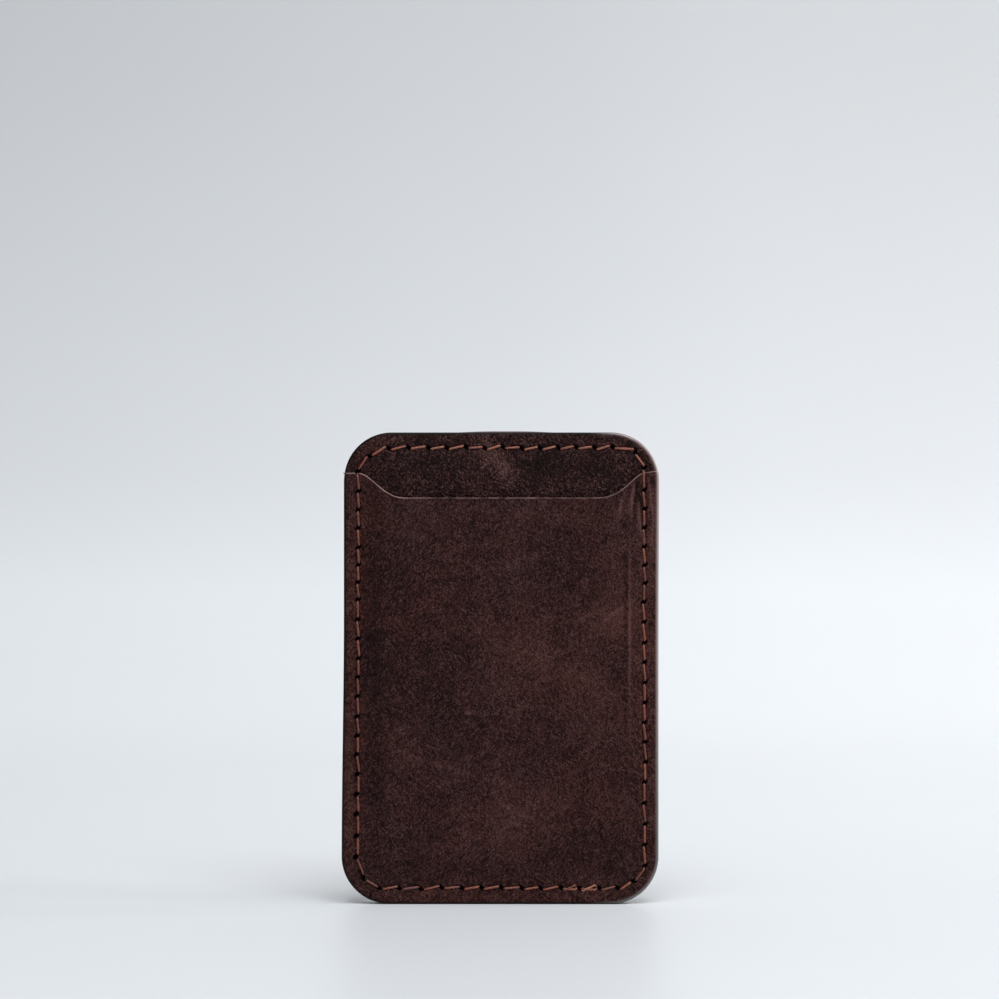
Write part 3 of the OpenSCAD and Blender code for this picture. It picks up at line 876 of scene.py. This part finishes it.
# ---------------------------------------------------------------------------------------------
# Needle thread: waxed three-ply polyester, rust brown, 0.44 mm thick, drawn down into the leather
# between the slanted holes. Two stitches at the bottom right were sewn twice to lock them.
# ---------------------------------------------------------------------------------------------
THREAD_R = 0.22 * MM
THREAD_LAY = 1.9 * MM
THREAD_PLIES = 3
PLY_DEEP = 0.13
STITCH_RINGS = 34
STITCH_DEEP = 0.95
BEND, CLIMB, OVERSHOOT = 0.55, 0.42, 1.02
THREAD_SIDES = 12

bpy.ops.object.select_all(action="DESELECT")
bpy.ops.mesh.primitive_cylinder_add(vertices=THREAD_SIDES, radius=1, depth=1, end_fill_type="NGON")
one_stitch = bpy.context.object
start, end = edge_ends(one_stitch)
pick(one_stitch, "EDGE", abs(start[:, 2] - end[:, 2]) > 0.5)
bpy.ops.mesh.subdivide(number_cuts=STITCH_RINGS - 1)
bpy.ops.object.mode_set(mode="OBJECT")
bpy.ops.object.shade_smooth_by_angle(angle=math.radians(60))
unit = points(one_stitch)
ALONG = unit[:, 2] + 0.5
AROUND = np.arctan2(unit[:, 1], unit[:, 0])
FROM_AXIS = np.hypot(unit[:, 0], unit[:, 1])


def stitch_path(share, length, rise):
    """How far along and how far up the thread's middle is: a tight bend leads into each hole."""
    t = share * math.pi
    over = np.sign(np.cos(t)) * abs(np.cos(t)) ** BEND
    return length / 2 * (1 - over * OVERSHOOT), rise * np.sin(t) ** CLIMB


def lay_stitch(name, start, end, face_y, out, rng, shift=0.0, slew=0.0, painted_light_and_shade=0.0,
               start_deep=STITCH_DEEP, end_deep=STITCH_DEEP):
    """A copy of the stitch, laid from one hole to the next on a face that looks along out."""
    bpy.ops.object.select_all(action="DESELECT")
    one_stitch.select_set(True)
    bpy.context.view_layer.objects.active = one_stitch
    bpy.ops.object.duplicate()
    piece = bpy.context.object
    piece.name = piece.data.name = name
    run = end - start
    length = np.hypot(*run)
    radius = THREAD_R * rng.uniform(0.93, 1.07)
    t = ALONG * math.pi
    deep = np.where(ALONG < 0.5, start_deep, end_deep) * MM
    top = 0.14 * MM + rng.uniform(-0.04, 0.04) * MM - radius
    along, rise = stitch_path(ALONG, length, top + deep)
    sag = 0.06 * MM * np.sin(t) ** 2 * rng.uniform(0.2, 1)
    level = -deep + rise - sag
    bow = shift * MM * np.sin(t) + (slew + rng.uniform(-0.05, 0.05)) * MM * np.sin(2 * t)
    twist = rng.uniform(0, 2 * math.pi)
    plies = np.cos(THREAD_PLIES * (AROUND - 2 * math.pi * along / THREAD_LAY) + twist)
    lobes = radius * FROM_AXIS * (1 + PLY_DEEP * plies)
    # The cross-section stands square to the path, which runs down at the ends.
    step = 1e-3
    along_before, rise_before = stitch_path(np.clip(ALONG - step, 0, 1), length, top + deep)
    along_after, rise_after = stitch_path(np.clip(ALONG + step, 0, 1), length, top + deep)
    forward, upward = along_after - along_before, rise_after - rise_before
    size = np.maximum(np.hypot(forward, upward), 1e-12)
    side = np.cos(AROUND) * lobes
    lift = np.sin(AROUND) * lobes
    a = along - upward / size * lift
    h = level + forward / size * lift
    way = run / length
    across = np.array([-way[1], way[0]])
    co = np.empty_like(unit)
    co[:, 0] = start[0] + way[0] * a + across[0] * (side + bow)
    co[:, 2] = start[1] + way[1] * a + across[1] * (side + bow)
    co[:, 1] = face_y + out * h
    place(piece, co)
    paint(piece, "ply", plies)
    paint(piece, "shade", np.full(len(co), painted_light_and_shade + rng.uniform(-0.7, 0.7)))
    return piece


def join_stitches(pieces, name):
    bpy.ops.object.select_all(action="DESELECT")
    for piece in pieces:
        piece.select_set(True)
    bpy.context.view_layer.objects.active = pieces[0]
    bpy.ops.object.join()
    whole = bpy.context.object
    whole.name = whole.data.name = name
    bpy.ops.object.mode_set(mode="EDIT")
    bpy.ops.mesh.select_all(action="SELECT")
    bpy.ops.mesh.normals_make_consistent(inside=False)
    bpy.ops.object.mode_set(mode="OBJECT")
    return whole


def thread_material(name, light, dark):
    """Waxed polyester thread: satin, with patches of dirt, painted shade between its plies and painted
    highlights on their tops.
    """
    material, tree = new_material(name)
    at = add(tree, "ShaderNodeTexCoord").outputs["Object"]
    shade = painted(tree, "shade")
    fibre = noise(tree, at, 0.16 * MM, 4.0, roughness=0.65)
    grime = noise(tree, at, 1.3 * MM, 3.0)
    body = ramp(tree, fibre, (0.3, dark), (0.62, light))
    body = mixed(tree, ramp(tree, grime, (0.45, 0.0), (0.7, 0.65)), body, linear("#5d2c22"))
    # Painted light: stitches along the top row are painted paler and the rest darker, and one lock
    # stitch gets a painted highlight, on top of each stitch's own random tone.
    body = mixed(tree, sums(tree, "MULTIPLY", shade, 0.22, clamp=True), body, linear("#e09675"))
    body = mixed(tree, sums(tree, "MULTIPLY", shade, -0.42, clamp=True), body, linear("#58281f"))
    # Painted shade between the plies and a painted highlight on their tops.
    between = ramp(tree, painted(tree, "ply"), (0.0, 0.42), (0.75, 1.15))
    body = mixed(tree, 1.0, body, between, "MULTIPLY")
    bump = add(tree, "ShaderNodeBump", {"Height": fibre, "Strength": 0.5, "Distance": 0.05 * MM})
    finish_material(tree, add(tree, "ShaderNodeBsdfPrincipled", {
        "Base Color": body, "Roughness": ramp(tree, fibre, (0.3, 0.5), (0.7, 0.36)),
        "IOR": 1.54, "Normal": bump.outputs["Normal"], "Sheen Weight": 0.15,
    }))
    return material


rng = np.random.default_rng(12)
sewn = []
step_down = (FRONT_FACE - card_low.y) / MM
for k, (start, end) in enumerate(STITCHES):
    over_pocket = min(start[1], end[1]) < 90 * MM
    # A stitch that leaves the pocket for the card panel dives less far at its end up there.
    lay = {
        "start_deep": STITCH_DEEP - (step_down if over_pocket and start[1] > 90 * MM else 0),
        "end_deep": STITCH_DEEP - (step_down if over_pocket and end[1] > 90 * MM else 0),
        "rng": rng, "start": start, "end": end, "out": -1,
    }
    face = FRONT_FACE if over_pocket else card_low.y
    hole_x, _, hole_way = SEAM_HOLES[k]
    # Painted light and shade per stitch: the top row and one lock stitch paler, the others darker.
    if hole_way == 180 and 13 * MM < hole_x < 22 * MM:
        sewn.append(lay_stitch(
            f"stitch_{k}", face_y=face, shift=0.24, slew=0.30, painted_light_and_shade=-0.6, **lay))
        sewn.append(lay_stitch(
            f"lock_{k}", face_y=face - 0.1 * MM, shift=-0.12, slew=-0.34,
            painted_light_and_shade=2.2 if hole_x > 18 * MM else -0.8, **lay))
    else:
        sewn.append(lay_stitch(
            f"stitch_{k}", face_y=face, painted_light_and_shade=0.8 if start[1] > 94 * MM else -0.6, **lay))
needle = join_stitches(sewn, "needle_stitches")
wear(thread_material("waxed_polyester_thread", "#c46240", "#6d2c1d"), needle)
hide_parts("needle_thread")

# ---------------------------------------------------------------------------------------------
# Bobbin thread: the second thread of the same seam, drawn tight on the rear leather.
# ---------------------------------------------------------------------------------------------
sewn = [
    lay_stitch(f"under_{k}", start, end, BACK_FACE, 1, rng)
    for k, (start, end) in enumerate(STITCHES)
]
bobbin = join_stitches(sewn, "bobbin_stitches")
wear(thread_material("waxed_polyester_thread_rear", "#a8634a", "#743728"), bobbin)
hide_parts("bobbin_thread")
bpy.data.objects.remove(one_stitch)

# ---------------------------------------------------------------------------------------------
# Floor: one pale sheet of satin board that sweeps up behind, so that no horizon shows. It isn't
# part of the wallet. Its colour holds painted light: darker in front and high up, brightest where
# it curves up, and brighter to the right. A large soft window to the right, a wider one overhead
# and a pale room light it.
# ---------------------------------------------------------------------------------------------
bpy.ops.object.select_all(action="DESELECT")
bpy.ops.mesh.primitive_plane_add(size=1)
floor = bpy.context.object
floor.name = floor.data.name = "floor"
floor.scale = (6, 3.2, 1)
floor.location = (0, -0.4, 0)
bpy.ops.object.transform_apply(location=True, rotation=True, scale=True)
start, end = edge_ends(floor)
pick(floor, "EDGE", np.minimum(start[:, 1], end[:, 1]) > 1)
bpy.ops.mesh.extrude_edges_move(TRANSFORM_OT_translate={"value": (0, 0, 3)})
bpy.ops.object.mode_set(mode="OBJECT")
start, end = edge_ends(floor)
at_foot = (np.minimum(start[:, 1], end[:, 1]) > 1) & (np.maximum(start[:, 2], end[:, 2]) < 0.1)
pick(floor, "EDGE", at_foot)
bpy.ops.mesh.bevel(offset=0.8, segments=40, affect="EDGES")
bpy.ops.object.mode_set(mode="OBJECT")
bpy.ops.object.shade_smooth()
card_stock, tree = new_material("satin_white_board")
at = add(tree, "ShaderNodeTexCoord").outputs["Object"]
axes = add(tree, "ShaderNodeSeparateXYZ", {"Vector": at}).outputs
up_sheet = add(tree, "ShaderNodeMath", {0: axes["Y"], 1: axes["Z"]}, operation="ADD").outputs[0]
up_sheet = add(tree, "ShaderNodeMapRange", {
    "Value": up_sheet, "From Min": -0.2, "From Max": 1.6,
}).outputs["Result"]
# Painted light: darker in front and up the wall, brightest where the board curves up.
board_colour_with_painted_light = ramp(
    tree, up_sheet, (0.10, 0.80), (0.25, 0.89), (0.40, 0.98), (0.51, 0.98), (0.60, 0.87), (0.92, 0.70))
across_sheet = add(tree, "ShaderNodeMapRange", {
    "Value": axes["X"], "From Min": -0.3, "From Max": 0.3,
}).outputs["Result"]
# Painted light: the board is painted brighter towards the right.
brighter_right = ramp(tree, across_sheet, (0.0, 0.90), (0.5, 0.96), (0.7, 1.0))
board_colour_with_painted_light = mixed(tree, 1.0, board_colour_with_painted_light, brighter_right, "MULTIPLY")
fibres = add(tree, "ShaderNodeTexNoise", {"Vector": at, "Scale": 6.0, "Detail": 2.0})
clouded = ramp(tree, fibres.outputs["Fac"], (0.3, 0.985), (0.7, 1.0))
board_colour_with_painted_light = mixed(tree, 1.0, board_colour_with_painted_light, clouded, "MULTIPLY")
finish_material(tree, add(tree, "ShaderNodeBsdfPrincipled", {
    "Base Color": board_colour_with_painted_light, "Roughness": 0.42, "IOR": 1.4,
}))
floor.data.materials.append(card_stock)


def soft_light(name, place_at, aim, size_x, size_y, watts, colour):
    data = bpy.data.lights.new(name, "AREA")
    data.shape = "RECTANGLE"
    data.size, data.size_y, data.energy, data.color = size_x, size_y, watts, linear(colour)[:3]
    lamp = bpy.data.objects.new(name, data)
    bpy.context.scene.collection.objects.link(lamp)
    lamp.location = place_at
    lamp.rotation_euler = (Vector(aim) - Vector(place_at)).to_track_quat("-Z", "Y").to_euler()


soft_light("window", (1.6, -0.1, 0.9), (0, 0, 0.05), 1.0, 1.2, 17, "#fffdfc")
soft_light("overhead", (0.2, -0.9, 1.7), (0, 0, 0), 1.4, 1.4, 34.5, "#f2f9ff")
world = bpy.data.worlds.new("room")
bpy.context.scene.world = world
world.use_nodes = True
world.node_tree.nodes["Background"].inputs["Color"].default_value = linear("#eef4fb")
world.node_tree.nodes["Background"].inputs["Strength"].default_value = 0.18
bpy.context.scene.view_settings.view_transform = "Standard"

# ---------------------------------------------------------------------------------------------
# Camera: level with the mouth of the pocket, straight in front of the wallet.
# ---------------------------------------------------------------------------------------------
camera_data = bpy.data.cameras.new("camera")
camera = bpy.data.objects.new("camera", camera_data)
bpy.context.scene.collection.objects.link(camera)
bpy.context.scene.camera = camera
CAMERA_BACK = 700 * MM
FIELD = 209.5 * MM
camera.location = (-0.36 * MM, FRONT_FACE - CAMERA_BACK, 84.9 * MM)
camera.rotation_euler = (math.pi / 2, 0, 0)
SENSOR = 36
camera_data.sensor_width = SENSOR
camera_data.lens = SENSOR * CAMERA_BACK / FIELD
camera_data.clip_start = 0.01
